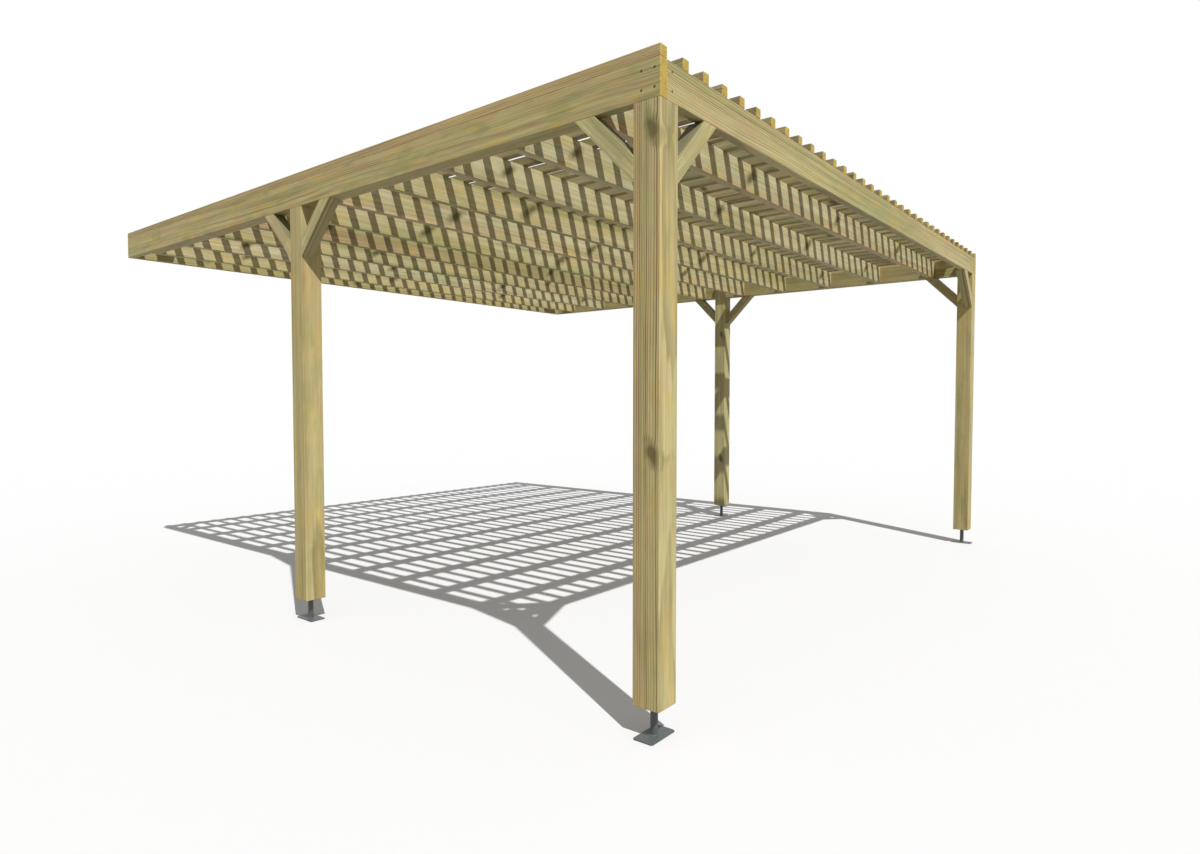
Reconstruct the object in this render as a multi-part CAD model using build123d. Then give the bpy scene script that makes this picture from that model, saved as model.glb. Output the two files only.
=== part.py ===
"""Wooden pergola that leans on a house wall, built from planed timber on four raised metal feet.

Lengths are in millimetres. +Z is up, the front faces -Y and the wall side faces +Y. The origin is
on the ground, in the middle of the space the pergola takes up.
"""
from build123d import *
import os

os.makedirs("parts", exist_ok=True)

# Overall sizes
SLAT_SPACING = 150.0        # from one slat to the next
SLAT_BAYS = 33              # spaces between slats across the width
DEPTH = 4950.0              # front beam's face to the wall
MIDDLE_POST_SETBACK = 2430.0    # front beam's face to the front of the middle posts

# Timber sections
POST = 120.0
POST_LENGTH = 2400.0
BEAM_THICK = 44.0
SIDE_BOARDS = 2             # a side beam is two boards face to face
BEAM_HEIGHT = 145.0
SLAT_WIDE = 44.0
SLAT_HIGH = 44.0
BRACE = 70.0                # braces are square timber

# Braces and joists
BRACE_LEG = 286.0           # how far a brace reaches along each timber it props
JOISTS = 10
CORNER_BRACE_SLACK = 2.0    # between a flat corner brace and the nearest joist

# Metal feet
GROUND_GAP = 120.0          # post's end above the ground
PLATE_LONG = 160.0
PLATE_SHORT = 90.0
PLATE_THICK = 5.0
PLATE_CORNER = 10.0
STEM_RADIUS = 15.0

WIDTH = SLAT_BAYS * SLAT_SPACING + SLAT_WIDE
BEAM_TOP = GROUND_GAP + POST_LENGTH
BEAM_FOOT = BEAM_TOP - BEAM_HEIGHT
PLATE_LAP = (PLATE_LONG - POST) / 2     # how far a foot plate stands out past its post
LEFT = -WIDTH / 2
RIGHT = WIDTH / 2
FRONT = -(DEPTH - PLATE_LAP) / 2
WALL = FRONT + DEPTH
MIDDLE = FRONT + MIDDLE_POST_SETBACK
INNER_LEFT = LEFT + BEAM_THICK
INNER_RIGHT = RIGHT - BEAM_THICK
SIDE_BEAM_THICK = SIDE_BOARDS * BEAM_THICK
JOIST_LEFT = LEFT + SIDE_BEAM_THICK
JOIST_RIGHT = RIGHT - SIDE_BEAM_THICK
END_BAY = BRACE_LEG + CORNER_BRACE_SLACK


def save(shape, name):
    """Label a finished shape and write it to its own file."""
    shape.label = name
    export_step(shape, f"parts/{name}.step")


def block(x0, x1, y0, y1, z0, z1):
    """A square-cut timber between the given limits."""
    return Pos(x0, y0, z0) * Box(x1 - x0, y1 - y0, z1 - z0, align=(Align.MIN, Align.MIN, Align.MIN))


def mitred_bar(corner, along, down, across, leg):
    """A square bar cut at 45 degrees at both ends, set across the corner of two timbers.

    corner is where the two timbers' faces meet; along and down point from it along each face;
    across is the direction of the bar's own thickness.
    """
    inner = leg - BRACE * 2 ** 0.5
    corner, along, down, across = Vector(corner), Vector(along), Vector(down), Vector(across)
    outline = Polyline(
        corner + along * inner,
        corner + along * leg,
        corner + down * leg,
        corner + down * inner,
        close=True,
    )
    return extrude(make_face(outline), amount=BRACE, dir=across)


def notched_post(x0, y0, outer_left, corner_post):
    """A post whose top is cut away so that the beams it carries lie flush with its outer faces.

    A corner post carries the outer board alone, because the inner board stops at the first joist.
    """
    post = block(x0, x0 + POST, y0, y0 + POST, GROUND_GAP, BEAM_TOP)
    notch = BEAM_THICK if corner_post else SIDE_BEAM_THICK
    side_x = x0 if outer_left else x0 + POST - notch
    post -= block(side_x, side_x + notch, y0, y0 + POST, BEAM_FOOT, BEAM_TOP)
    if corner_post:
        post -= block(x0, x0 + POST, y0, y0 + BEAM_THICK, BEAM_FOOT, BEAM_TOP)
    return post


def foot(x, y, long_in_x):
    """A raised metal foot: a plate with rounded corners and a round stem up to the post's end."""
    size = (PLATE_LONG, PLATE_SHORT) if long_in_x else (PLATE_SHORT, PLATE_LONG)
    plate = extrude(RectangleRounded(*size, PLATE_CORNER), amount=PLATE_THICK)
    stem = Pos(0, 0, PLATE_THICK) * Cylinder(
        STEM_RADIUS, GROUND_GAP - PLATE_THICK, align=(Align.CENTER, Align.CENTER, Align.MIN)
    )
    return Pos(x, y, 0) * (plate + stem)


# Posts, with the feet under them. The feet of two opposite corners have their long side across.
POSTS = {
    "front_left": (LEFT, FRONT, True, True, True),
    "front_right": (RIGHT - POST, FRONT, False, True, False),
    "middle_left": (LEFT, MIDDLE, True, False, False),
    "middle_right": (RIGHT - POST, MIDDLE, False, False, True),
}
for place, (x0, y0, outer_left, corner_post, foot_across) in POSTS.items():
    save(notched_post(x0, y0, outer_left, corner_post), f"{place}_post")
    save(foot(x0 + POST / 2, y0 + POST / 2, foot_across), f"{place}_foot")

# Beams: the outer boards of the side beams run the full depth, and the cross beams fit between
# them.
save(block(LEFT, INNER_LEFT, FRONT, WALL, BEAM_FOOT, BEAM_TOP), "left_side_beam")
save(block(INNER_RIGHT, RIGHT, FRONT, WALL, BEAM_FOOT, BEAM_TOP), "right_side_beam")
front_inner, wall_inner = FRONT + BEAM_THICK, WALL - BEAM_THICK
save(block(INNER_LEFT, INNER_RIGHT, FRONT, front_inner, BEAM_FOOT, BEAM_TOP), "front_beam")
save(block(INNER_LEFT, INNER_RIGHT, wall_inner, WALL, BEAM_FOOT, BEAM_TOP), "wall_beam")

# Joists: the first and last stand an end bay in from the cross beams and reach the outer boards.
# The inner boards run between these two, and the other joists stand evenly between the boards.
first_joist = front_inner + END_BAY
last_joist = wall_inner - END_BAY - BEAM_THICK
for number in range(JOISTS):
    x0, x1 = (INNER_LEFT, INNER_RIGHT) if number in (0, JOISTS - 1) else (JOIST_LEFT, JOIST_RIGHT)
    y0 = first_joist + (last_joist - first_joist) * number / (JOISTS - 1)
    joist = block(x0, x1, y0, y0 + BEAM_THICK, BEAM_FOOT, BEAM_TOP)
    save(joist, f"joist_{number + 1:02d}")
for side, x0, x1 in (("left", INNER_LEFT, JOIST_LEFT), ("right", JOIST_RIGHT, INNER_RIGHT)):
    inner_board = block(x0, x1, first_joist + BEAM_THICK, last_joist, BEAM_FOOT, BEAM_TOP)
    save(inner_board, f"{side}_inner_beam")

# Knee braces under the beams, their outer faces flush with the posts.
BACKWARD, FORWARD, DOWN = (0, 1, 0), (0, -1, 0), (0, 0, -1)
TO_RIGHT, TO_LEFT, UP = (1, 0, 0), (-1, 0, 0), (0, 0, 1)
for side, outer_x, inward in (("left", LEFT, TO_RIGHT), ("right", RIGHT, TO_LEFT)):
    for name, y, along in (
        (f"front_{side}_side_brace", FRONT + POST, BACKWARD),
        (f"middle_{side}_front_brace", MIDDLE, FORWARD),
        (f"middle_{side}_back_brace", MIDDLE + POST, BACKWARD),
    ):
        save(mitred_bar((outer_x, y, BEAM_FOOT), along, DOWN, inward, BRACE_LEG), name)
    post_face = outer_x + POST * inward[0]
    brace = mitred_bar((post_face, FRONT, BEAM_FOOT), inward, DOWN, BACKWARD, BRACE_LEG)
    save(brace, f"front_{side}_cross_brace")
    # Flat braces lie across the four corners of the frame, level with the tops of the beams.
    for end, y, along in (("front", front_inner, BACKWARD), ("wall", wall_inner, FORWARD)):
        corner = (outer_x + BEAM_THICK * inward[0], y, BEAM_TOP - BRACE)
        save(mitred_bar(corner, inward, along, UP, BRACE_LEG), f"{end}_{side}_corner_brace")


def slats(first, count):
    """Neighbouring slats, each a separate timber laid from front to back on top of the beams."""
    return Compound(children=[
        block(LEFT + n * SLAT_SPACING, LEFT + n * SLAT_SPACING + SLAT_WIDE, FRONT, WALL,
              BEAM_TOP, BEAM_TOP + SLAT_HIGH)
        for n in range(first, first + count)
    ])


save(slats(0, 1), "left_edge_slat")
save(slats(SLAT_BAYS, 1), "right_edge_slat")
SLATS_IN_GROUP = 8
for group in range((SLAT_BAYS - 1) // SLATS_IN_GROUP):
    save(slats(1 + group * SLATS_IN_GROUP, SLATS_IN_GROUP), f"roof_slats_{group + 1}")
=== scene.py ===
"""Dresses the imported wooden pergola: planed, green-treated pine, dark steel feet and screws.

Every object is in metres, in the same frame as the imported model. +Z is up, the front faces -Y and
the back faces +Y.
"""

import logging
import math
from dataclasses import dataclass
from enum import Enum

import bpy
from mathutils import Euler, Matrix, Vector


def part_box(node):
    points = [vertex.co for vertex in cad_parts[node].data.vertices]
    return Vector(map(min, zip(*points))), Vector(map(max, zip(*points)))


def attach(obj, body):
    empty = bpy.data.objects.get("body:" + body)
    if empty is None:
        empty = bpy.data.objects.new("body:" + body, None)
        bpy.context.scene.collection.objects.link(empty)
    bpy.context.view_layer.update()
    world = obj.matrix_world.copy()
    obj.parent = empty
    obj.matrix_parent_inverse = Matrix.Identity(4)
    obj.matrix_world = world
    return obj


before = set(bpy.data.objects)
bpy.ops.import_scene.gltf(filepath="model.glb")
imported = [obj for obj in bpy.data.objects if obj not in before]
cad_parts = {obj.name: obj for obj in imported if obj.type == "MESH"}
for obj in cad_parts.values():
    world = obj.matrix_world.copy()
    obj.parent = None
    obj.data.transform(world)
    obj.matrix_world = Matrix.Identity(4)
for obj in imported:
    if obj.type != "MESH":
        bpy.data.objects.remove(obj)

log = logging.getLogger("pergola")

Triple = tuple[float, float, float]
Colour = Triple
Socket = bpy.types.NodeSocket

SLAT_PITCH = 0.150


def shade(red: int, green: int, blue: int) -> Colour:
    """Turns a colour given in screen values into the linear values that a shader takes.

    Args:
        red: Red, 0 to 255.
        green: Green, 0 to 255.
        blue: Blue, 0 to 255.

    Returns:
        The three linear values, 0 to 1.
    """
    def linear(value: int) -> float:
        """One screen value as a linear one."""
        part = value / 255
        return part / 12.92 if part <= 0.04045 else ((part + 0.055) / 1.055) ** 2.4

    return linear(red), linear(green), linear(blue)


class Bench:
    """A node tree under construction, with short calls for the nodes that the finishes use.

    A value given to a call is either a constant or the output socket that it comes from.
    """

    def __init__(self, tree: bpy.types.NodeTree) -> None:
        """Starts on a tree that is already empty."""
        self.tree = tree

    def node(self, kind: str, **settings: object) -> bpy.types.Node:
        """Adds a node.

        Args:
            kind: The node's type name in Blender.
            settings: Properties to set on it.

        Returns:
            The new node.
        """
        made = self.tree.nodes.new(kind)
        for name, value in settings.items():
            setattr(made, name, value)
        return made

    def feed(self, socket: Socket, value: object) -> None:
        """Sets an input to a constant, or links it where the value is an output socket.

        Args:
            socket: The input.
            value: What it takes.
        """
        if isinstance(value, Socket):
            self.tree.links.new(value, socket)
        elif isinstance(value, tuple) and len(value) == 3 and socket.type == "RGBA":
            socket.default_value = (*value, 1.0)
        else:
            socket.default_value = value

    def sum(self, operation: str, *values: object) -> Socket:
        """Adds a Math node.

        Args:
            operation: What it works out.
            values: Up to three numbers.

        Returns:
            The result.
        """
        made = self.node("ShaderNodeMath", operation=operation)
        for place, value in enumerate(values):
            self.feed(made.inputs[place], value)
        return made.outputs[0]

    def vector(self, operation: str, *values: object, scale: object = None) -> Socket:
        """Adds a Vector Math node.

        Args:
            operation: What it works out.
            values: The vectors.
            scale: The number that a vector is multiplied by, for a SCALE.

        Returns:
            A vector, or a number for a length or a dot product.
        """
        made = self.node("ShaderNodeVectorMath", operation=operation)
        for place, value in enumerate(values):
            self.feed(made.inputs[place], value)
        if scale is not None:
            self.feed(made.inputs["Scale"], scale)
        return made.outputs["Value" if operation in ("LENGTH", "DOT_PRODUCT") else "Vector"]

    def split(self, vector: Socket) -> tuple[Socket, ...]:
        """Takes a vector apart.

        Args:
            vector: The vector.

        Returns:
            Its three parts.
        """
        made = self.node("ShaderNodeSeparateXYZ")
        self.feed(made.inputs[0], vector)
        return tuple(made.outputs)

    def joined(self, *parts: object) -> Socket:
        """Puts a vector together.

        Args:
            parts: Its three parts.

        Returns:
            The vector.
        """
        made = self.node("ShaderNodeCombineXYZ")
        for socket, value in zip(made.inputs, parts):
            self.feed(socket, value)
        return made.outputs[0]

    def noise(self, place: Socket, stretch: Triple, detail: float = 2.0,
              colour: bool = False) -> Socket:
        """Adds noise in a stretched space.

        Args:
            place: The point, in metres.
            stretch: How many blotches there are to the metre, along each axis.
            detail: Octaves of finer noise.
            colour: Whether three unlike values are wanted.

        Returns:
            The noise, about 0.5 on average.
        """
        made = self.node("ShaderNodeTexNoise")
        self.feed(made.inputs["Vector"], self.vector("MULTIPLY", place, stretch))
        self.feed(made.inputs["Scale"], 1.0)
        self.feed(made.inputs["Detail"], detail)
        return made.outputs["Color" if colour else "Fac"]

    def between(self, value: object, low: float, high: float, to_low: object = 0.0,
                to_high: object = 1.0) -> Socket:
        """Adds a soft step from one value to another.

        Args:
            value: The number that the step depends on.
            low: Where the step starts.
            high: Where it ends.
            to_low: The result before the start.
            to_high: The result past the end.

        Returns:
            The result.
        """
        made = self.node("ShaderNodeMapRange", interpolation_type="SMOOTHSTEP")
        for name, part in (("Value", value), ("From Min", low), ("From Max", high),
                           ("To Min", to_low), ("To Max", to_high)):
            self.feed(made.inputs[name], part)
        return made.outputs["Result"]

    def blend(self, share: object, first: object, second: object) -> Socket:
        """Mixes two colours.

        Args:
            share: The second one's share, 0 to 1.
            first: The first colour.
            second: The second colour.

        Returns:
            The mixed colour.
        """
        made = self.node("ShaderNodeMix", data_type="RGBA")
        for place, value in ((0, share), (6, first), (7, second)):
            self.feed(made.inputs[place], value)
        return made.outputs[2]

    def chance(self, seed: object) -> tuple[Socket, Socket]:
        """Draws random values, always the same for the same seed.

        Args:
            seed: The number that they come from.

        Returns:
            One value, and three more as a colour.
        """
        made = self.node("ShaderNodeTexWhiteNoise", noise_dimensions="1D")
        self.feed(made.inputs["W"], seed)
        return made.outputs["Value"], made.outputs["Color"]

    def surface(self, colour: Socket, roughness: Socket, height: Socket,
                relief: tuple[float, float]) -> bpy.types.Node:
        """Ends a material with its surface and the fine relief on it.

        Args:
            colour: The base colour.
            roughness: How dull it is, 0 to 1.
            height: The relief's height, 0 to about 1.
            relief: How strong the relief is, and how deep in metres.

        Returns:
            The surface's node.
        """
        bump = self.node("ShaderNodeBump")
        for name, value in zip(("Strength", "Distance", "Height"), (*relief, height)):
            self.feed(bump.inputs[name], value)
        made = self.node("ShaderNodeBsdfPrincipled")
        for name, value in (("Base Color", colour), ("Roughness", roughness),
                            ("Normal", bump.outputs[0])):
            self.feed(made.inputs[name], value)
        self.output(made)
        return made

    def output(self, shader: bpy.types.Node) -> None:
        """Makes a shader the material's surface."""
        self.feed(self.node("ShaderNodeOutputMaterial").inputs["Surface"], shader.outputs[0])


def new_material(name: str) -> tuple[bpy.types.Material, Bench]:
    """Makes a material with no nodes in it yet.

    Args:
        name: The material's name.

    Returns:
        The material, and the bench to build its nodes on.
    """
    made = bpy.data.materials.new(name)
    made.use_nodes = True
    made.node_tree.nodes.clear()
    return made, Bench(made.node_tree)


class PineGrain:
    """The node group that grows the timber: rings round a pith, heartwood, knots and streaks.

    A point is given in the timber's own axes, in metres: the first along the grain, and the other
    two across it, from the middle of the section.
    """

    NAME = "pine_grain"
    STRAW = shade(198, 184, 128)
    CREAM = shade(208, 202, 166)
    GREEN = shade(158, 160, 104)
    PINK = shade(198, 166, 124)
    GOLD = shade(208, 180, 96)
    BROWN = shade(138, 116, 74)
    LATEWOOD = shade(112, 92, 52)
    KNOT = shade(86, 76, 42)
    KNOT_RIM = shade(118, 110, 66)
    # Painted shade, laid on faces that look up where a timber is set to take it.
    SHADED = shade(106, 106, 80)
    END = shade(204, 176, 86)
    END_RING = shade(150, 118, 44)
    PLACES = ("Place", "Half size", "Pith", "Grain", "Knot centre", "Knot aim")
    NUMBERS = ("Seed", "Ring width", "Ring depth", "Heart", "Green", "Pink", "Mottle", "Cream",
               "Painted shade top", "Shade", "Knot gap", "Knot stray", "Knot size")

    # Noises, as blotches to the metre along the grain and across it.
    FIBRE = (14.0, 420.0, 420.0)
    STREAK = (1.6, 75.0, 75.0)
    RAGGED = (26.0, 34.0, 34.0)
    WANDER = (0.8, 2.0, 2.0)
    TREMOR = (3.0, 40.0, 40.0)
    RING_PATCH = (0.7, 9.0, 9.0)
    ARRIS_BREAKUP = (9.0, 60.0, 60.0)
    # Tints: the setting that scales each, its colour, its noise, where the noise starts to show and
    # where it shows in full, and its greatest share.
    TINTS = (
        ("Green", GREEN, (0.6, 13.0, 13.0), 0.45, 0.68, 0.8),
        ("Pink", PINK, (0.5, 17.0, 17.0), 0.47, 0.68, 0.6),
        ("Mottle", GOLD, (5.0, 17.0, 17.0), 0.5, 0.66, 0.6),
        ("Mottle", PINK, (6.0, 19.0, 19.0), 0.5, 0.66, 0.5),
        ("Mottle", GREEN, (4.5, 15.0, 15.0), 0.52, 0.7, 0.6),
        ("Mottle", BROWN, (1.4, 38.0, 38.0), 0.52, 0.76, 0.55),
    )
    # Where a noise starts to show and where it shows in full.
    FIBRE_SPAN = (0.2, 0.8)
    STREAK_SPAN = (0.25, 0.75)
    PATCH_SPAN = (0.35, 0.65)
    ARRIS_BREAKUP_SPAN = (0.4, 0.62)
    # How far one whole seed moves the noises, in metres, and the draws for knots and rings.
    SEED_STEP = (17.3, 5.1, 9.7)
    KNOT_DRAW = 13.0
    RING_DRAW = 7.0
    # Lengths in metres: how far the pith wanders and the rings tremble, how far a knot pushes
    # them out, half the heartwood's soft edge, the green band's edge and depth, the least knot,
    # and where an arris's wear and its painted highlight start and end.
    WANDER_BY = 0.03
    TREMOR_BY = 0.004
    KNOT_PUSH = 0.005
    HEART_EDGE = 0.006
    RIND_EDGE = 0.004
    RIND_DEPTH = 0.024
    LEAST_KNOT = 0.0005
    ARRIS_REACH = (0.005, 0.0015)
    # A knot's shape: its width for its length, its slant, how far it leaves its line, the shares
    # of the size that vary and that stay, how ragged it is, and where its stain and its core fade,
    # in knot sizes.
    KNOT_STRETCH = 0.6
    KNOT_SLANT = 0.8
    KNOT_SHIFT = 0.06
    KNOT_VARIES = 0.5
    SMALLEST_KNOT = 0.75
    RAGGED_BY = 1.6
    RIM_REACH = (3.0, 1.2)
    CORE_REACH = (1.6, 0.7)
    # Rings: how much and how often they bunch, how each darkens and ends, and the faintest ones.
    BUNCH_BY = 0.45
    BUNCH_RATE = 0.7
    RING_RISE = (0.3, 0.85)
    RING_FALL = (1.0, 0.9)
    FAINT_PATCH = 0.45
    FAINT_RING = 0.35
    # Shares of the tints that lie over the timber's own colour.
    RIM_SHARE = 0.6
    CORE_SHARE = 0.7
    END_RING_SHARE = 0.8
    # How far a face has to look up to take painted shade, and to keep the lightness of a sawn end.
    PAINTED_SHADE_RISE = (0.5, 0.65)
    TOP_RISE = (0.8, 0.95)
    # Lightness kept on faces that look up and on sawn ends. The other faces take the timber's own
    # lightness, which on the slats is painted shade on their sides and undersides.
    TOP_AND_END_LIGHTNESS = 0.93
    SAWN_END = (0.75, 0.9)
    # Lightness, gloss and relief.
    UNEVEN = (0.9, 1.1)
    HIGHLIT_WEAR_PALER = 0.16
    WORN_GLOSS = 0.12
    ROUGHNESS = (0.6, 0.76)
    RING_RELIEF = 0.6
    FIBRE_RELIEF = 0.7

    @classmethod
    def group(cls) -> bpy.types.NodeTree:
        """The group, grown on the first call."""
        return bpy.data.node_groups.get(cls.NAME) or cls().grow()

    def __init__(self) -> None:
        """Starts the group with its inputs and outputs."""
        self.tree = bpy.data.node_groups.new(self.NAME, "ShaderNodeTree")
        face = self.tree.interface
        for kind, names in (("Vector", self.PLACES), ("Float", self.NUMBERS)):
            for name in names:
                face.new_socket(name, in_out="INPUT", socket_type=f"NodeSocket{kind}")
        for name, kind in (("Colour", "Color"), ("Roughness", "Float"), ("Height", "Float")):
            face.new_socket(name, in_out="OUTPUT", socket_type=f"NodeSocket{kind}")
        self.bench = Bench(self.tree)
        self.given = self.bench.node("NodeGroupInput").outputs
        self.place = self.given["Place"]
        self.seeded = self.bench.vector("ADD", self.place, self.bench.vector(
            "SCALE", self.SEED_STEP, scale=self.given["Seed"]))

    def grow(self) -> bpy.types.NodeTree:
        """Builds the grain.

        Returns:
            The finished node group, with a colour, a roughness and a height.
        """
        bench, given = self.bench, self.given
        rim, core = self.knots()
        radius = self.radius(rim)
        ring = self.rings(radius)
        colour = self.tones(radius)
        for share, tone in (
            (bench.sum("MULTIPLY", ring, given["Ring depth"]), self.LATEWOOD),
            (bench.sum("MULTIPLY", rim, self.RIM_SHARE), self.KNOT_RIM),
            (bench.sum("MULTIPLY", core, self.CORE_SHARE), self.KNOT),
            # Painted shade on faces that look up.
            (bench.sum("MULTIPLY", given["Painted shade top"], self.facing_up(self.PAINTED_SHADE_RISE)),
             self.SHADED),
        ):
            colour = bench.blend(share, colour, tone)
        end = self.end_grain()
        end_ring = bench.sum("MULTIPLY", ring, self.END_RING_SHARE)
        colour = bench.blend(end, colour, bench.blend(end_ring, self.END, self.END_RING))
        highlit_wear = self.arris_wear_and_highlight()
        fibre = bench.noise(self.seeded, self.FIBRE, detail=3.0)
        result = bench.node("NodeGroupOutput").inputs
        bench.feed(result["Colour"], bench.vector(
            "SCALE", colour, scale=self.lightness(end, highlit_wear, fibre)))
        gloss = bench.sum("MULTIPLY", bench.sum("ADD", highlit_wear, core), self.WORN_GLOSS)
        bench.feed(result["Roughness"], bench.sum(
            "SUBTRACT", bench.between(fibre, *self.FIBRE_SPAN, *self.ROUGHNESS), gloss))
        bench.feed(result["Height"], bench.sum(
            "ADD", bench.sum("MULTIPLY", ring, self.RING_RELIEF),
            bench.sum("MULTIPLY", fibre, self.FIBRE_RELIEF)))
        return self.tree

    def lightness(self, end: Socket, highlit_wear: Socket, fibre: Socket) -> Socket:
        """How light the timber is at a point.

        Args:
            end: Where the surface is a sawn end.
            highlit_wear: Where an arris shows wear and a painted highlight.
            fibre: The noise of the fibres.

        Returns:
            What the colour is multiplied by.
        """
        bench, given = self.bench, self.given
        streak = bench.noise(self.seeded, self.STREAK)
        # Faces that look up and sawn ends keep a set lightness. The others take the timber's own,
        # which paints shade on the slats' sides and undersides.
        top_or_end = bench.sum("MAXIMUM", end, self.facing_up(self.TOP_RISE))
        own = bench.between(top_or_end, 0.0, 1.0, given["Shade"], self.TOP_AND_END_LIGHTNESS)
        uneven = bench.sum("MULTIPLY", bench.between(fibre, *self.FIBRE_SPAN, *self.UNEVEN),
                           bench.between(streak, *self.STREAK_SPAN, *self.UNEVEN))
        # Arrises are paler: wear, and a painted highlight along each edge.
        return bench.sum("MULTIPLY", bench.sum("MULTIPLY", own, uneven),
                         bench.sum("MULTIPLY_ADD", highlit_wear, self.HIGHLIT_WEAR_PALER, 1.0))

    def knots(self) -> tuple[Socket, ...]:
        """Knots at nearly even distances along the timber, each on a line through the section.

        Returns:
            The soft stain round the knots and their dark core, each 0 to 1.
        """
        bench, given = self.bench, self.given
        offset = bench.vector("SUBTRACT", self.place, given["Knot centre"])
        along, across, up = bench.split(offset)
        turn = bench.sum("ADD", 0.5, bench.sum("DIVIDE", along, given["Knot gap"]))
        number = bench.sum("FLOOR", turn)
        strength, random = bench.chance(bench.sum("ADD", number, bench.sum(
            "MULTIPLY", given["Seed"], self.KNOT_DRAW)))
        first, second, third = (bench.sum("SUBTRACT", part, 0.5) for part in bench.split(random))
        stray = bench.sum("MULTIPLY", given["Knot stray"], first)
        away = bench.sum("MULTIPLY", given["Knot gap"], bench.sum(
            "SUBTRACT", bench.sum("SUBTRACT", turn, number), bench.sum("ADD", stray, 0.5)))
        shift = bench.sum("MULTIPLY", given["Knot stray"], self.KNOT_SHIFT)
        slanted = bench.sum("SUBTRACT", away, bench.sum("MULTIPLY", up, self.KNOT_SLANT))
        from_axis = bench.joined(
            bench.sum("MULTIPLY", slanted, self.KNOT_STRETCH),
            bench.sum("ADD", across, bench.sum("MULTIPLY", shift, second)),
            bench.sum("ADD", up, bench.sum("MULTIPLY", shift, third)))
        distance = bench.vector("LENGTH", bench.vector(
            "CROSS_PRODUCT", from_axis, given["Knot aim"]))
        size = bench.sum("MULTIPLY", given["Knot size"], bench.sum(
            "MULTIPLY_ADD", strength, self.KNOT_VARIES, self.SMALLEST_KNOT))
        ragged = bench.sum("MULTIPLY_ADD", bench.noise(self.seeded, self.RAGGED, detail=3.0),
                           self.RAGGED_BY, -self.RAGGED_BY / 2)
        reach = bench.sum("ADD", bench.sum("DIVIDE", distance, size), ragged)
        real = bench.sum("GREATER_THAN", given["Knot size"], self.LEAST_KNOT)
        return tuple(bench.sum("MULTIPLY", real, bench.between(reach, *limits))
                     for limits in (self.RIM_REACH, self.CORE_REACH))

    def radius(self, rim: Socket) -> Socket:
        """How far a point is from the pith, which wanders along the timber and parts round knots.

        Args:
            rim: How near a knot is, 0 to 1.

        Returns:
            The distance in metres.
        """
        bench, given = self.bench, self.given
        wander = bench.vector("SCALE", bench.vector(
            "SUBTRACT", bench.noise(self.seeded, self.WANDER, colour=True),
            (0.5, 0.5, 0.5)), scale=self.WANDER_BY)
        from_pith = bench.vector("ADD", wander, bench.vector("SUBTRACT", self.place, given["Pith"]))
        _, across, up = bench.split(from_pith)
        radius = bench.vector("LENGTH", bench.joined(across, up, 0.0))
        tremor = bench.sum("MULTIPLY_ADD", bench.noise(self.seeded, self.TREMOR),
                           self.TREMOR_BY, -self.TREMOR_BY / 2)
        return bench.sum("ADD", bench.sum("ADD", radius, tremor),
                         bench.sum("MULTIPLY", rim, self.KNOT_PUSH))

    def rings(self, radius: Socket) -> Socket:
        """Growth rings, some faint and some strong.

        Args:
            radius: The distance from the pith.

        Returns:
            The dark part of each ring, 0 to 1.
        """
        bench, given = self.bench, self.given
        count = bench.sum("DIVIDE", radius, given["Ring width"])
        count = bench.sum("ADD", count, bench.sum("MULTIPLY", self.BUNCH_BY, bench.sum(
            "SINE", bench.sum("MULTIPLY", count, self.BUNCH_RATE))))
        part = bench.sum("FRACT", count)
        dark = bench.sum("MULTIPLY", bench.between(part, *self.RING_RISE),
                         bench.between(part, *self.RING_FALL))
        strength, _ = bench.chance(bench.sum("ADD", bench.sum("FLOOR", count), bench.sum(
            "MULTIPLY", given["Seed"], self.RING_DRAW)))
        patch = bench.between(bench.noise(self.seeded, self.RING_PATCH), *self.PATCH_SPAN,
                              self.FAINT_PATCH, 1.0)
        return bench.sum("MULTIPLY", patch, bench.sum("MULTIPLY", dark, bench.between(
            strength, 0.0, 1.0, self.FAINT_RING, 1.0)))

    def tones(self, radius: Socket) -> Socket:
        """Pinkish heartwood inside a greener band, and streaks and blotches over both.

        Args:
            radius: The distance from the pith.

        Returns:
            The colour before rings and knots.
        """
        bench, given = self.bench, self.given
        past_heart = bench.sum("SUBTRACT", radius, given["Heart"])
        heart = bench.between(past_heart, self.HEART_EDGE, -self.HEART_EDGE)
        rind = bench.sum("MULTIPLY", bench.between(past_heart, -self.RIND_EDGE, self.RIND_EDGE),
                         bench.between(past_heart, self.RIND_DEPTH, self.RIND_EDGE))
        colour = bench.blend(given["Cream"], self.STRAW, self.CREAM)
        colour = bench.blend(bench.sum("MULTIPLY", heart, given["Pink"]), colour, self.PINK)
        colour = bench.blend(bench.sum("MULTIPLY", rind, given["Green"]), colour, self.GREEN)
        for name, tone, stretch, low, high, share in self.TINTS:
            streak = bench.between(bench.noise(bench.vector(
                "ADD", self.seeded, (stretch[1], stretch[0], 0.7)), stretch, detail=3.0),
                low, high)
            strength = bench.sum("MULTIPLY", given[name], share)
            colour = bench.blend(bench.sum("MULTIPLY", streak, strength), colour, tone)
        return colour

    def facing_up(self, limits: tuple[float, float]) -> Socket:
        """Where the surface looks upwards, 0 to 1 as its normal's rise passes the limits."""
        _, _, rise = self.bench.split(self.bench.node("ShaderNodeTexCoord").outputs["Normal"])
        return self.bench.between(rise, *limits)

    def end_grain(self) -> Socket:
        """Where the surface is a sawn end.

        Returns:
            1 on a sawn end and 0 elsewhere.
        """
        bench, given = self.bench, self.given
        normal = bench.node("ShaderNodeTexCoord").outputs["Normal"]
        facing = bench.sum("ABSOLUTE", bench.vector("DOT_PRODUCT", normal, given["Grain"]))
        return bench.between(facing, *self.SAWN_END)

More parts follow.
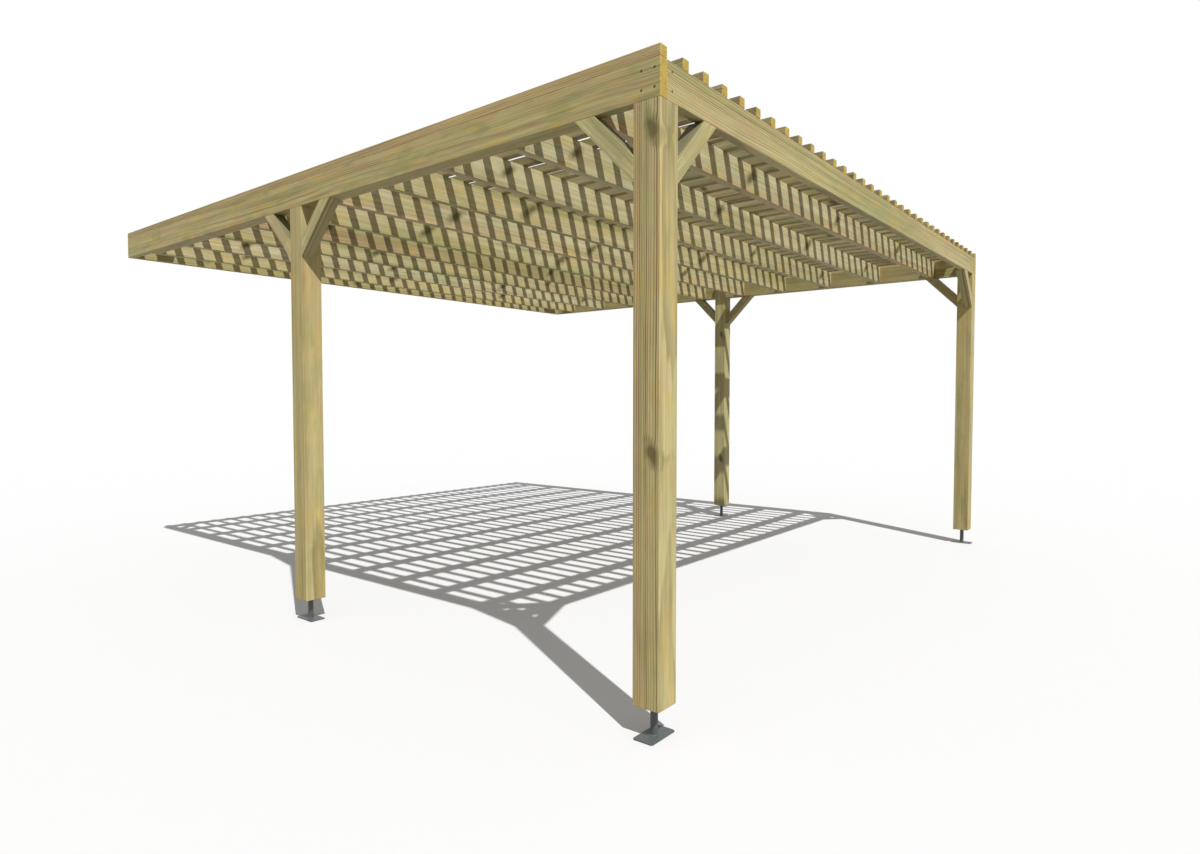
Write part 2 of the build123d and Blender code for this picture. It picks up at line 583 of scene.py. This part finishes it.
    def arris_wear_and_highlight(self) -> Socket:
        """Where an arris shows wear and a painted highlight.

        Returns:
            The wear and its painted highlight, 0 to 1, broken up along each edge.
        """
        bench, given = self.bench, self.given
        to_face = bench.vector("SUBTRACT", given["Half size"], bench.vector(
            "ABSOLUTE", self.place))
        first, second, third = bench.split(to_face)
        lesser = bench.sum("MINIMUM", first, second)
        greater = bench.sum("MAXIMUM", first, second)
        to_edge = bench.sum("MAXIMUM", lesser, bench.sum("MINIMUM", greater, third))
        arris_breakup = bench.between(bench.noise(self.seeded, self.ARRIS_BREAKUP, detail=3.0),
                               *self.ARRIS_BREAKUP_SPAN)
        return bench.sum("MULTIPLY", arris_breakup, bench.between(to_edge, *self.ARRIS_REACH))


@dataclass(frozen=True)
class Lie:
    """How a timber lies: its grain's direction, and the direction of its first side."""

    along: Triple
    across: Triple

    def turn(self) -> Euler:
        """The rotation from the timber's own axes to the frame's."""
        return self.axes().transposed().to_euler()

    def axes(self) -> Matrix:
        """The timber's own axes, one to a row."""
        along, across = Vector(self.along).normalized(), Vector(self.across).normalized()
        return Matrix((along, across, along.cross(across)))

    def half_size(self, low: Vector, high: Vector) -> Vector:
        """Half the timber's length and section.

        Args:
            low: The lowest corner of its box.
            high: The highest corner.

        Returns:
            The half sizes along its own axes. A timber set at 45 degrees keeps its whole box.
        """
        half = (high - low) / 2
        return Vector(max(abs(part) * size for part, size in zip(row, half))
                      for row in self.axes())


class Lies(Enum):
    """The ways that this pergola's square-set timbers lie."""

    UPRIGHT = Lie((0.0, 0.0, 1.0), (1.0, 0.0, 0.0))
    ACROSS = Lie((1.0, 0.0, 0.0), (0.0, 1.0, 0.0))
    BACKWARD = Lie((0.0, 1.0, 0.0), (-1.0, 0.0, 0.0))


@dataclass(frozen=True)
class Knots:
    """Where a timber's knots are: the first one's middle, their line through it, and their spacing.

    Lengths are in metres, in the timber's own axes.
    """

    centre: Triple = (0.0, 0.0, 0.0)
    aim: Triple = (0.0, 1.0, 0.0)
    gap: float = 1.3
    stray: float = 0.7
    size: float = 0.010


NO_KNOTS = Knots(size=0.0)


@dataclass(frozen=True)
class Timber:
    """The finish of one length of planed pine."""

    seed: float
    pith: tuple[float, float] = (0.02, 0.16)
    ring_width: float = 0.007
    ring_depth: float = 0.6
    heart: float = 0.0
    green: float = 0.5
    pink: float = 0.5
    mottle: float = 0.5
    cream: float = 0.0
    # How much painted shade the faces that look up take, 0 to 1.
    painted_shade_top: float = 0.0
    lightness: float = 1.0
    knots: Knots = Knots()
    row_pitch: float = 0.0

    RELIEF = (0.6, 0.0008)
    GLOSS = 0.25
    ROW_SEEDS = 60.0

    def settings(self, lie: Lie) -> dict[str, object]:
        """What the grain group is told about this timber.

        Args:
            lie: How it lies.

        Returns:
            The group's inputs by name.
        """
        aim = Vector((self.knots.aim[0] * PineGrain.KNOT_STRETCH, *self.knots.aim[1:]))
        return {
            "Pith": (0.0, *self.pith),
            "Grain": Vector(lie.along).normalized(),
            "Seed": self.seed,
            "Ring width": self.ring_width,
            "Ring depth": self.ring_depth,
            "Heart": self.heart,
            "Green": self.green,
            "Pink": self.pink,
            "Mottle": self.mottle,
            "Cream": self.cream,
            "Painted shade top": self.painted_shade_top,
            "Shade": self.lightness,
            "Knot centre": self.knots.centre,
            "Knot aim": aim.normalized(),
            "Knot gap": self.knots.gap,
            "Knot stray": self.knots.stray,
            "Knot size": self.knots.size,
        }

    def material(self, name: str, low: Vector, high: Vector, lie: Lie) -> bpy.types.Material:
        """Makes the material for a timber at a place.

        Args:
            name: The material's name.
            low: The lowest corner of the timber's box, or of the first one's in a row.
            high: The highest corner.
            lie: How the timber lies.

        Returns:
            The new material.
        """
        made, bench = new_material(name)
        mapping = bench.node("ShaderNodeMapping", vector_type="TEXTURE")
        bench.feed(mapping.inputs["Vector"], bench.node("ShaderNodeTexCoord").outputs["Object"])
        mapping.inputs["Location"].default_value = (low + high) / 2
        mapping.inputs["Rotation"].default_value = lie.turn()
        grain = bench.node("ShaderNodeGroup", node_tree=PineGrain.group())
        for socket, value in self.settings(lie).items():
            bench.feed(grain.inputs[socket], value)
        bench.feed(grain.inputs["Half size"], lie.half_size(low, high))
        bench.feed(grain.inputs["Place"], mapping.outputs[0])
        if self.row_pitch:
            self.tell_apart(bench, mapping.outputs[0], grain)
        surface = bench.surface(grain.outputs["Colour"], grain.outputs["Roughness"],
                                grain.outputs["Height"], self.RELIEF)
        surface.inputs["Specular IOR Level"].default_value = self.GLOSS
        return made

    def tell_apart(self, bench: Bench, place: Socket, grain: bpy.types.Node) -> None:
        """Gives each timber of a row its own grain and its own tone.

        Args:
            bench: The material under construction.
            place: The point in the first timber's own axes.
            grain: The grain group.
        """
        along, across, up = bench.split(place)
        number = bench.sum("FLOOR", bench.sum("ADD", 0.5, bench.sum(
            "DIVIDE", across, self.row_pitch)))
        own = bench.sum("SUBTRACT", across, bench.sum("MULTIPLY", number, self.row_pitch))
        bench.feed(grain.inputs["Place"], bench.joined(along, own, up))
        lone, random = bench.chance(bench.sum("ADD", number, self.seed))
        first, second, third = bench.split(random)
        for name, value, span, least in (
            ("Seed", lone, self.ROW_SEEDS, self.seed),
            ("Green", first, 0.9, 0.1),
            ("Pink", second, 0.9, 0.0),
            ("Shade", third, 0.2, self.lightness - 0.1),
        ):
            bench.feed(grain.inputs[name], bench.sum("MULTIPLY_ADD", value, span, least))
        bench.feed(grain.inputs["Pith"], bench.joined(
            0.0, bench.sum("MULTIPLY_ADD", second, 0.2, -0.1),
            bench.sum("MULTIPLY_ADD", first, 0.16, -0.08)))


@dataclass(frozen=True)
class Metal:
    """The finish of a metal piece."""

    colour: Colour
    metallic: float
    roughness: tuple[float, float]
    mottle: float = 0.12

    MOTTLING = (90.0, 90.0, 90.0)
    MOTTLE_SPAN = (0.3, 0.7)
    FACE = (900.0, 900.0, 900.0)
    RELIEF = (0.25, 0.0003)

    def material(self, name: str) -> bpy.types.Material:
        """Makes the material: a fine mottle in its colour and gloss, and a slightly uneven face.

        Args:
            name: The material's name.

        Returns:
            The new material.
        """
        made, bench = new_material(name)
        place = bench.node("ShaderNodeTexCoord").outputs["Object"]
        mottle = bench.noise(place, self.MOTTLING, detail=4.0)
        colour = bench.vector("SCALE", bench.joined(*self.colour), scale=bench.between(
            mottle, *self.MOTTLE_SPAN, 1 - self.mottle, 1 + self.mottle))
        gloss = bench.between(mottle, *self.MOTTLE_SPAN, *self.roughness)
        surface = bench.surface(colour, gloss, bench.noise(place, self.FACE), self.RELIEF)
        surface.inputs["Metallic"].default_value = self.metallic
        return made


WELD_GAP = 1e-5
ARRIS_STEPS = 2
SHARP_ANGLE = math.radians(40)
FOOT_STEEL = Metal(colour=shade(84, 89, 89), metallic=0.0, roughness=(0.42, 0.58))
SCREW_STEEL = Metal(colour=shade(62, 54, 40), metallic=0.6, roughness=(0.35, 0.5))


def centre_of(node: str) -> Vector:
    """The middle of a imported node's box, in metres."""
    low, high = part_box(node)
    return (low + high) / 2


def dress(node: str, material: bpy.types.Material, arris: float) -> None:
    """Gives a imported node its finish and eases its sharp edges, without touching its mesh.

    Args:
        node: The node's name.
        material: The finish.
        arris: How wide the eased edges are, in metres.
    """
    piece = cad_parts[node]
    piece.data.materials.clear()
    piece.data.materials.append(material)
    weld = piece.modifiers.new("weld", "WELD")
    weld.merge_threshold = WELD_GAP
    bevel = piece.modifiers.new("arris", "BEVEL")
    bevel.width = arris
    bevel.segments = ARRIS_STEPS
    bevel.limit_method = "ANGLE"
    bevel.angle_limit = SHARP_ANGLE
    bevel.use_clamp_overlap = True
    normals = piece.modifiers.new("normals", "WEIGHTED_NORMAL")
    normals.keep_sharp = False
    log.info("dressed %s", node)


def dress_timber(node: str, finish: Timber, lie: Lie, arris: float) -> None:
    """Gives a packed timber its finish, centred on its own box.

    Args:
        node: The node's name.
        finish: The timber's finish.
        lie: How it lies.
        arris: How wide the eased edges are, in metres.
    """
    dress(node, finish.material(node, *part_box(node), lie), arris)


def select_only(*pieces: bpy.types.Object) -> None:
    """Selects the given pieces and nothing else, with the first one active.

    Args:
        pieces: What to select, which may be nothing.
    """
    bpy.ops.object.select_all(action="DESELECT")
    for piece in pieces:
        piece.select_set(True)
    if pieces:
        bpy.context.view_layer.objects.active = pieces[0]


@dataclass
class Posts:
    """The four posts. Their rings run across, so the side faces show close lines."""

    arris: float = 0.003
    finishes: tuple[tuple[str, Timber], ...] = (
        ("front_left_post", Timber(
            seed=3.0, pith=(0.0, 0.35), ring_width=0.0095, heart=0.33, ring_depth=1.3, green=0.4,
            pink=0.6, mottle=0.7, cream=0.12, lightness=1.05,
            knots=Knots(centre=(0.958, -0.06, -0.026), aim=(0.1, 1.0, 0.1), gap=1.18,
                        stray=0.03, size=0.020))),
        ("front_right_post", Timber(
            seed=8.0, pith=(-0.02, 0.3), ring_depth=0.6, mottle=0.8, green=0.7, pink=0.4,
            lightness=0.95, knots=NO_KNOTS)),
        ("middle_left_post", Timber(
            seed=12.0, pith=(0.02, 0.3), ring_width=0.009, ring_depth=0.9, mottle=0.7,
            knots=NO_KNOTS)),
        ("middle_right_post", Timber(
            seed=17.0, pith=(0.0, 0.3), ring_depth=0.5, mottle=0.6, green=0.8, pink=0.1,
            cream=0.3, lightness=1.03,
            knots=Knots(centre=(0.675, -0.06, -0.02), aim=(0.1, 1.0, 0.1), gap=1.363,
                        stray=0.03, size=0.013))),
    )

    def dress(self) -> None:
        """Finishes the posts."""
        for node, finish in self.finishes:
            dress_timber(node, finish, Lies.UPRIGHT.value, self.arris)


@dataclass
class Beams:
    """The side beams, each of two boards, and the two beams that fit between them."""

    arris: float = 0.003
    finishes: tuple[tuple[str, Lies, Timber], ...] = (
        ("left_side_beam", Lies.BACKWARD, Timber(
            seed=21.0, pith=(-0.22, -0.09), ring_width=0.006, ring_depth=0.6, mottle=1.0,
            green=0.55, pink=0.45, lightness=0.95, knots=NO_KNOTS)),
        ("left_inner_beam", Lies.BACKWARD, Timber(
            seed=23.0, pith=(0.1, 0.2), ring_depth=0.6, mottle=0.6, green=0.8, knots=NO_KNOTS)),
        ("right_inner_beam", Lies.BACKWARD, Timber(
            seed=28.0, pith=(0.05, -0.2), ring_depth=0.6, mottle=0.8, green=0.7, lightness=0.87,
            knots=NO_KNOTS)),
        ("right_side_beam", Lies.BACKWARD, Timber(
            seed=26.0, pith=(0.22, -0.08), ring_width=0.006, ring_depth=0.5, mottle=1.0,
            lightness=0.93,
            knots=Knots(centre=(0.2, 0.0, 0.01), aim=(0.2, 1.0, 0.2), size=0.009))),
        ("front_beam", Lies.ACROSS, Timber(
            seed=31.0, pith=(0.03, 0.26), heart=0.215, ring_width=0.010, ring_depth=0.9,
            green=1.0, pink=0.5, mottle=0.6, cream=0.1, lightness=0.97, knots=NO_KNOTS)),
        ("wall_beam", Lies.ACROSS, Timber(
            seed=36.0, pith=(0.0, -0.26), heart=0.2, ring_depth=0.7, mottle=0.5,
            knots=Knots(centre=(0.4, 0.0, -0.01), aim=(0.3, 0.6, -0.8), size=0.010))),
    )

    def dress(self) -> None:
        """Finishes the beams."""
        for node, lie, finish in self.finishes:
            dress_timber(node, finish, lie.value, self.arris)


@dataclass(frozen=True)
class JoistTone:
    """What sets one joist apart: its first knot, its heartwood, its tints and how pale it is."""

    knot_at: float
    knot_gap: float
    heart: float
    green: float
    pink: float
    cream: float
    lightness: float


@dataclass
class Joists:
    """The joists that carry the slats, each with its own tone and its own knots."""

    arris: float = 0.003
    front_face: float = -0.022
    knot_height: float = 0.012
    knot_size: float = 0.013
    base_seed: float = 40.0
    seed_step: float = 3.7
    tones: tuple[JoistTone, ...] = (
        JoistTone(0.10, 1.25, 0.185, 0.40, 0.60, 0.80, 1.04),
        JoistTone(-0.64, 1.34, 0.150, 0.60, 0.30, 0.80, 1.04),
        JoistTone(-0.59, 1.38, 0.160, 0.70, 0.40, 0.70, 1.03),
        JoistTone(0.70, 2.10, 0.140, 1.00, 0.20, 0.40, 1.02),
        JoistTone(-0.17, 1.40, 0.195, 0.50, 0.45, 0.70, 1.04),
        JoistTone(-0.02, 1.40, 0.150, 0.80, 0.20, 0.50, 1.04),
        JoistTone(0.45, 2.30, 0.215, 0.90, 0.55, 0.20, 0.87),
        JoistTone(0.95, 2.10, 0.150, 1.00, 0.40, 0.40, 0.98),
        JoistTone(-0.64, 1.32, 0.170, 0.30, 0.40, 0.90, 1.08),
        JoistTone(-0.29, 1.42, 0.150, 0.60, 0.20, 0.40, 1.07),
    )

    def dress(self) -> None:
        """Finishes the joists."""
        for number, tone in enumerate(self.tones, start=1):
            knots = Knots(centre=(tone.knot_at, self.front_face, self.knot_height),
                          aim=(0.3, -0.5, 0.8), gap=tone.knot_gap, stray=0.06,
                          size=self.knot_size)
            finish = Timber(seed=self.base_seed + self.seed_step * number, pith=(0.08, -0.19),
                            ring_width=0.0055, ring_depth=0.65, heart=tone.heart,
                            green=tone.green, pink=tone.pink, mottle=0.6, cream=tone.cream,
                            lightness=tone.lightness, knots=knots)
            dress_timber(f"joist_{number:02d}", finish, Lies.ACROSS.value, self.arris)


@dataclass
class Braces:
    """The knee braces under the beams and the flat braces across the corners of the frame."""

    arris: float = 0.0025
    first_seed: float = 90.0
    seed_step: float = 2.9

    def dress(self) -> None:
        """Finishes the braces, the grain along each."""
        lies = {}
        for side, inward in (("left", 1.0), ("right", -1.0)):
            lies[f"front_{side}_side_brace"] = Lie((0.0, 1.0, 1.0), (inward, 0.0, 0.0))
            lies[f"middle_{side}_back_brace"] = Lie((0.0, 1.0, 1.0), (inward, 0.0, 0.0))
            lies[f"middle_{side}_front_brace"] = Lie((0.0, -1.0, 1.0), (inward, 0.0, 0.0))
            lies[f"front_{side}_cross_brace"] = Lie((inward, 0.0, 1.0), (0.0, 1.0, 0.0))
            lies[f"wall_{side}_corner_brace"] = Lie((inward, 1.0, 0.0), (0.0, 0.0, 1.0))
            lies[f"front_{side}_corner_brace"] = Lie((inward, -1.0, 0.0), (0.0, 0.0, 1.0))
        for number, (node, lie) in enumerate(lies.items()):
            # The braces' upper faces take painted shade.
            finish = Timber(seed=self.first_seed + self.seed_step * number, pith=(0.02, 0.12),
                            ring_width=0.006, ring_depth=0.8, mottle=0.4, cream=0.2,
                            painted_shade_top=0.85, lightness=0.96, knots=NO_KNOTS)
            dress_timber(node, finish, lie, self.arris)


@dataclass
class Slats:
    """The roof slats, laid front to back."""

    groups: int = 4
    arris: float = 0.0025

    def dress(self) -> None:
        """Finishes the slats. One material serves the rows and tells the slats apart by place."""
        lie = Lies.BACKWARD.value
        # The rows' low lightness is painted shade on the slats' sides and undersides. Their tops
        # and sawn ends keep a set, lighter one.
        row = Timber(seed=150.0, lightness=0.63, ring_depth=0.8, mottle=0.9, cream=0.5,
                     knots=Knots(gap=1.4, stray=0.9, size=0.008, aim=(0.2, 0.7, 0.7)),
                     row_pitch=-SLAT_PITCH).material("roof_slats", *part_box("left_edge_slat"), lie)
        for number in range(1, self.groups + 1):
            dress(f"roof_slats_{number}", row, self.arris)
        for node, seed in (("left_edge_slat", 210.0), ("right_edge_slat", 214.0)):
            finish = Timber(seed=seed, pith=(0.01, 0.11), heart=0.3, ring_width=0.011,
                            ring_depth=1.0, green=0.4, pink=0.5, lightness=0.96, knots=NO_KNOTS)
            dress_timber(node, finish, lie, self.arris)


@dataclass
class Feet:
    """The four steel feet, with the weld round each stem."""

    stem_radius: float = 0.015
    plate_thick: float = 0.005
    bead_radius: float = 0.0032
    bead_clear: float = 0.3
    bead_uneven: float = 0.16
    bead_steps: tuple[int, int] = (40, 10)
    arris: float = 0.0008
    places: tuple[str, ...] = ("front_left", "front_right", "middle_left", "middle_right")

    def build(self) -> None:
        """Models the weld once, and sets a copy of it on each foot."""
        steel = FOOT_STEEL.material("foot_steel")
        bead = self.weld()
        for place in self.places:
            node = f"{place}_foot"
            dress(node, steel, self.arris)
            centre = centre_of(node)
            copy = own_copy(bead, f"{place}_foot_weld")
            copy.data.transform(Matrix.Translation((centre.x, centre.y, self.plate_thick)))
            copy.data.materials.append(steel)
            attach(copy, "root")
            log.info("built %s", copy.name)
        bpy.data.objects.remove(bead)

    def weld(self) -> bpy.types.Object:
        """A bead of weld round the origin.

        Returns:
            The bead, an uneven ring.
        """
        select_only()
        around, across = self.bead_steps
        bpy.ops.mesh.primitive_torus_add(
            major_radius=self.stem_radius + self.bead_radius * self.bead_clear,
            minor_radius=self.bead_radius, major_segments=around, minor_segments=across)
        bead = bpy.context.object
        bpy.ops.object.mode_set(mode="EDIT")
        bpy.ops.mesh.select_all(action="SELECT")
        bpy.ops.transform.vertex_random(offset=self.bead_radius * self.bead_uneven, seed=4)
        bpy.ops.object.mode_set(mode="OBJECT")
        bpy.ops.object.shade_smooth()
        return bead


@dataclass
class Screws:
    """The screws: those at the ends of the beams, and one where each slat crosses a timber."""

    head_radius: float = 0.0046
    head_proud: float = 0.0005
    head_deep: float = 0.0022
    recess_radius: float = 0.0022
    recess_deep: float = 0.55
    lobe_pinch: float = 0.62
    sides: int = 12
    post_line: float = 0.084
    end_line: float = 0.025
    front_line: float = 0.078
    upper_line: float = 0.036
    lower_line: float = 0.039
    joist_count: int = 10
    slat_count: int = 34

    def build(self) -> None:
        """Models one head and sets copies of it."""
        steel = SCREW_STEEL.material("screw_steel")
        head = self.head()
        self.corner_screws(head, steel)
        self.slat_screws(head, steel)
        bpy.data.objects.remove(head)

    def head(self) -> bpy.types.Object:
        """Models a screw head that faces up, with its middle on the origin and a lobed recess.

        Returns:
            The head.
        """
        select_only()
        bpy.ops.mesh.primitive_cylinder_add(
            vertices=self.sides, radius=self.head_radius, depth=self.head_deep,
            location=(0.0, 0.0, self.head_proud - self.head_deep / 2))
        head = bpy.context.object
        bpy.ops.object.transform_apply(location=True, rotation=False, scale=False)
        bpy.ops.object.mode_set(mode="EDIT")
        bpy.ops.mesh.select_mode(type="FACE")
        self.select_top(head)
        bpy.ops.mesh.inset(thickness=self.head_radius - self.recess_radius)
        bpy.ops.mesh.extrude_region_move(
            TRANSFORM_OT_translate={"value": (0.0, 0.0, -self.head_deep * self.recess_deep)})
        bpy.ops.mesh.select_mode(type="VERT")
        bpy.ops.mesh.select_all(action="DESELECT")
        bpy.ops.object.mode_set(mode="OBJECT")
        for vertex in head.data.vertices:
            x, y, _ = vertex.co
            inner = math.hypot(x, y) < (self.head_radius + self.recess_radius) / 2
            step = round(math.atan2(y, x) / (2 * math.pi / self.sides))
            vertex.select = inner and step % 2 == 0
        bpy.ops.object.mode_set(mode="EDIT")
        bpy.ops.transform.resize(value=(self.lobe_pinch, self.lobe_pinch, 1.0))
        bpy.ops.object.mode_set(mode="OBJECT")
        return head

    def select_top(self, head: bpy.types.Object) -> None:
        """Selects the head's top face alone, in edit mode.

        Args:
            head: The head.
        """
        bpy.ops.mesh.select_all(action="DESELECT")
        bpy.ops.object.mode_set(mode="OBJECT")
        for face in head.data.polygons:
            face.select = face.normal.z > 0.9
        bpy.ops.object.mode_set(mode="EDIT")

    def corner_screws(self, head: bpy.types.Object, steel: bpy.types.Material) -> None:
        """Sets the screws that hold the corners together.

        Args:
            head: The model of a head.
            steel: Their finish.
        """
        for side, outward in (("left", -1.0), ("right", 1.0)):
            low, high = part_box(f"{side}_side_beam")
            outer = low.x if outward < 0 else high.x
            heights = (low.z + self.lower_line, high.z - self.upper_line)
            places = [((outer, low.y + line, z), (outward, 0.0, 0.0))
                      for line in (self.end_line, self.post_line) for z in heights]
            places += [((outer - outward * self.front_line, low.y, z), (0.0, -1.0, 0.0))
                       for z in heights]
            self.set_screws(head, f"front_{side}_corner_screws", places, steel)
            places = [((outer, high.y - self.end_line, z), (outward, 0.0, 0.0)) for z in heights]
            self.set_screws(head, f"wall_{side}_corner_screws", places, steel)

    def slat_screws(self, head: bpy.types.Object, steel: bpy.types.Material) -> None:
        """Sets a screw where each slat crosses each timber under it.

        Args:
            head: The model of a head.
            steel: Their finish.
        """
        joists = (f"joist_{number:02d}" for number in range(1, self.joist_count + 1))
        crossed = ["front_beam", *joists, "wall_beam"]
        first = centre_of("left_edge_slat")
        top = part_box("left_edge_slat")[1].z
        up = (0.0, 0.0, 1.0)
        places = [((first.x, centre_of(node).y, top), up) for node in crossed]
        row = self.set_screws(head, "slat_screws", places, steel)
        select_only(row)
        repeat = row.modifiers.new("repeat", "ARRAY")
        repeat.count = self.slat_count
        repeat.use_relative_offset = False
        repeat.use_constant_offset = True
        repeat.constant_offset_displace = (SLAT_PITCH, 0.0, 0.0)
        bpy.ops.object.modifier_apply(modifier=repeat.name)

    def set_screws(self, head: bpy.types.Object, name: str,
                   places: list[tuple[tuple[float, ...], tuple[float, ...]]],
                   steel: bpy.types.Material) -> bpy.types.Object:
        """Copies the head to each place and joins the copies into one piece.

        Args:
            head: The model of a head.
            name: The joined piece's name.
            places: A point on the timber's face and the way the head faces, for each screw.
            steel: Their finish.

        Returns:
            The joined piece.
        """
        copies = []
        for number, (point, facing) in enumerate(places):
            copy = own_copy(head, f"{name}_{number}")
            turn = Vector(facing).to_track_quat("Z", "Y").to_matrix().to_4x4()
            copy.data.transform(Matrix.Translation(point) @ turn)
            copies.append(copy)
        select_only(*copies)
        bpy.ops.object.join()
        joined = copies[0]
        joined.name = name
        joined.data.name = name
        joined.data.materials.append(steel)
        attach(joined, "root")
        log.info("built %s", name)
        return joined


def own_copy(piece: bpy.types.Object, name: str) -> bpy.types.Object:
    """Copies a piece with a mesh of its own.

    Args:
        piece: What to copy.
        name: The copy's name.

    Returns:
        The copy, in the scene.
    """
    copy = piece.copy()
    copy.data = piece.data.copy()
    copy.name = name
    copy.data.name = name
    bpy.context.scene.collection.objects.link(copy)
    return copy


@dataclass
class Studio:
    """The floor, the light and the camera. Nothing here is part of the pergola."""

    floor_size: float = 120.0
    floor_seen: float = 0.72
    floor_bounce: float = 0.25
    sky: float = 0.42
    lamp_power: float = 3.72
    lamp_angle: float = 0.6
    light_heading: Triple = (0.269, 0.515, -0.814)
    camera_place: Triple = (-4.7511, -3.9789, 1.2886)
    heading: float = 38.63
    tilt: float = -2.128
    focal_pixels: float = 741.64
    image_width: float = 1200.0
    sensor: float = 36.0
    shift: tuple[float, float] = (0.00182, -0.00101)
    sight: float = 200.0

    def build(self) -> None:
        """Sets up the whole studio."""
        self.floor()
        self.backdrop()
        self.lamp()
        self.camera()
        bpy.context.scene.view_settings.view_transform = "Standard"
        log.info("built the studio")

    def seen_directly(self, bench: Bench) -> Socket:
        """Tells the camera's rays from the others.

        Args:
            bench: The material under construction.

        Returns:
            1 for a ray from the camera, or one that it sees by reflection or through glass.
        """
        path = bench.node("ShaderNodeLightPath").outputs
        either = bench.sum("MAXIMUM", path["Is Camera Ray"], path["Is Glossy Ray"])
        return bench.sum("MAXIMUM", either, path["Is Transmission Ray"])

    def floor(self) -> None:
        """Lays a plain pale floor."""
        select_only()
        bpy.ops.mesh.primitive_plane_add(size=self.floor_size)
        floor = bpy.context.object
        floor.name = "studio_floor"
        made, bench = new_material("studio_floor")
        seen = self.seen_directly(bench)
        level = bench.sum("MULTIPLY_ADD", seen, self.floor_seen - self.floor_bounce,
                          self.floor_bounce)
        surface = bench.node("ShaderNodeBsdfDiffuse")
        bench.feed(surface.inputs["Color"], bench.joined(level, level, level))
        bench.output(surface)
        floor.data.materials.append(made)

    def backdrop(self) -> None:
        """Makes the world white to the camera and a plain soft light to the pergola."""
        world = bpy.data.worlds.new("studio")
        bpy.context.scene.world = world
        world.use_nodes = True
        world.node_tree.nodes.clear()
        bench = Bench(world.node_tree)
        level = bench.sum("MULTIPLY_ADD", self.seen_directly(bench), 1.0 - self.sky, self.sky)
        light = bench.node("ShaderNodeBackground")
        bench.feed(light.inputs["Strength"], level)
        light.inputs["Color"].default_value = (1.0, 1.0, 1.0, 1.0)
        bench.feed(bench.node("ShaderNodeOutputWorld").inputs["Surface"], light.outputs[0])

    def lamp(self) -> None:
        """Hangs one broad lamp in the direction that the photograph's light comes from."""
        lamp = bpy.data.lights.new("studio_lamp", "SUN")
        lamp.energy = self.lamp_power
        lamp.angle = math.radians(self.lamp_angle)
        hung = bpy.data.objects.new("studio_lamp", lamp)
        hung.rotation_euler = Vector(self.light_heading).to_track_quat("-Z", "Y").to_euler()
        bpy.context.scene.collection.objects.link(hung)

    def camera(self) -> None:
        """Stands the camera where the photograph was taken from."""
        lens = bpy.data.cameras.new("studio_camera")
        lens.sensor_width = self.sensor
        lens.lens = self.focal_pixels / self.image_width * self.sensor
        lens.shift_x, lens.shift_y = self.shift
        lens.clip_end = self.sight
        stand = bpy.data.objects.new("studio_camera", lens)
        heading, tilt = math.radians(self.heading), math.radians(self.tilt)
        forward = Vector((math.cos(heading) * math.cos(tilt), math.sin(heading) * math.cos(tilt),
                          math.sin(tilt)))
        right = Vector((math.sin(heading), -math.cos(heading), 0.0))
        up = right.cross(forward)
        turn = Matrix((right, up, -forward)).transposed().to_4x4()
        stand.matrix_world = Matrix.Translation(self.camera_place) @ turn
        bpy.context.scene.collection.objects.link(stand)
        bpy.context.scene.camera = stand


def main() -> None:
    """Dresses the pergola, adds its small pieces and sets up the studio."""
    logging.basicConfig(level=logging.INFO, format="%(name)s: %(message)s")
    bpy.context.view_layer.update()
    Studio().build()
    Posts().dress()
    Beams().dress()
    Joists().dress()
    Braces().dress()
    Slats().dress()
    Feet().build()
    Screws().build()


if __name__ == "__main__":
    main()
